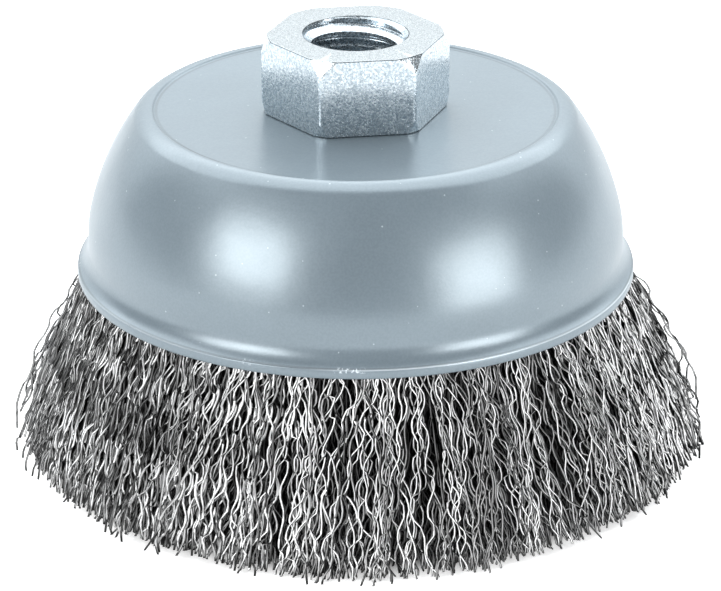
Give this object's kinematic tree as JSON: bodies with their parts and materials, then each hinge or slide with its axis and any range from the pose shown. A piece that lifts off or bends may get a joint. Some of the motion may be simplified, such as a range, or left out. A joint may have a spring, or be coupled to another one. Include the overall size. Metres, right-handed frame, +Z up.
{
  "type": "wire cup brush",
  "caption": "Crimped steel wire cup brush for an angle grinder: painted pressed cup, hexagonal threaded arbor nut and a flared skirt of crimped wire.",
  "frame": {"origin": "centre of the wire face, where the tips of the wires meet the surface", "axes": "+Z up the spindle axis towards the nut; +X and +Y across the brush, with the nut's hexagon turned 8.3 degrees from +X"},
  "size_m": [0.0963, 0.0968, 0.0574],
  "materials": {
    "cup_paint": "semi-gloss blue-grey enamel",
    "zinc_steel": "bright zinc plate with a fine grain",
    "plain_steel": "bare rolled steel",
    "wire": "bright drawn steel wire",
    "packed_wire": "packed wire with dark gaps"
  },
  "bodies": {
    "root": {"arbor_nut": "zinc_steel", "cup": "cup_paint", "inner_cup": "plain_steel", "anchor_ring": "plain_steel", "wire_fill": "packed_wire", "wire_hank_01": "wire", "wire_hank_02": "wire", "wire_hank_03": "wire", "wire_hank_04": "wire", "wire_hank_05": "wire", "wire_hank_06": "wire", "wire_hank_07": "wire", "wire_hank_08": "wire", "wire_hank_09": "wire", "wire_hank_10": "wire", "wire_hank_11": "wire", "wire_hank_12": "wire", "wire_hank_13": "wire", "wire_hank_14": "wire", "wire_hank_15": "wire", "wire_hank_16": "wire"}
  },
  "joints": []
}
